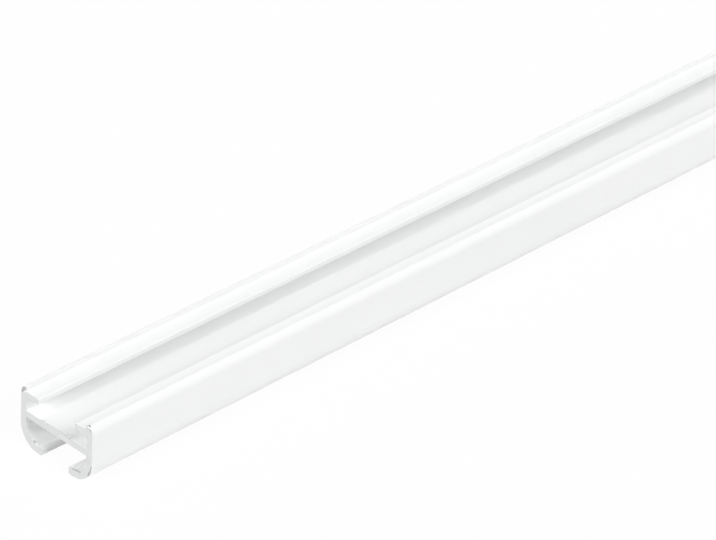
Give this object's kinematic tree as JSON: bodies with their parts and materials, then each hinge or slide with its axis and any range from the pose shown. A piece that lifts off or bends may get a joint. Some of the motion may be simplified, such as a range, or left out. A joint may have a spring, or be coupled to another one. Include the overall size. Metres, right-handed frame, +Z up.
{
  "type": "ceiling curtain track",
  "caption": "Straight white coated track with an H-shaped section: an upper channel for ceiling clips and a lower slotted channel for curtain gliders.",
  "frame": {"origin": "mid-length of the track, midway between the clip lips, on the ceiling plane that the tops of the two ridges touch", "axes": "+X along the track, +Y across it, +Z up to the ceiling"},
  "size_m": [0.3, 0.02, 0.0136],
  "materials": {
    "white_coat": "satin white powder coat on extruded aluminium, bare metal on the sawn ends"
  },
  "bodies": {
    "root": {"track_profile": "white_coat"}
  },
  "joints": []
}
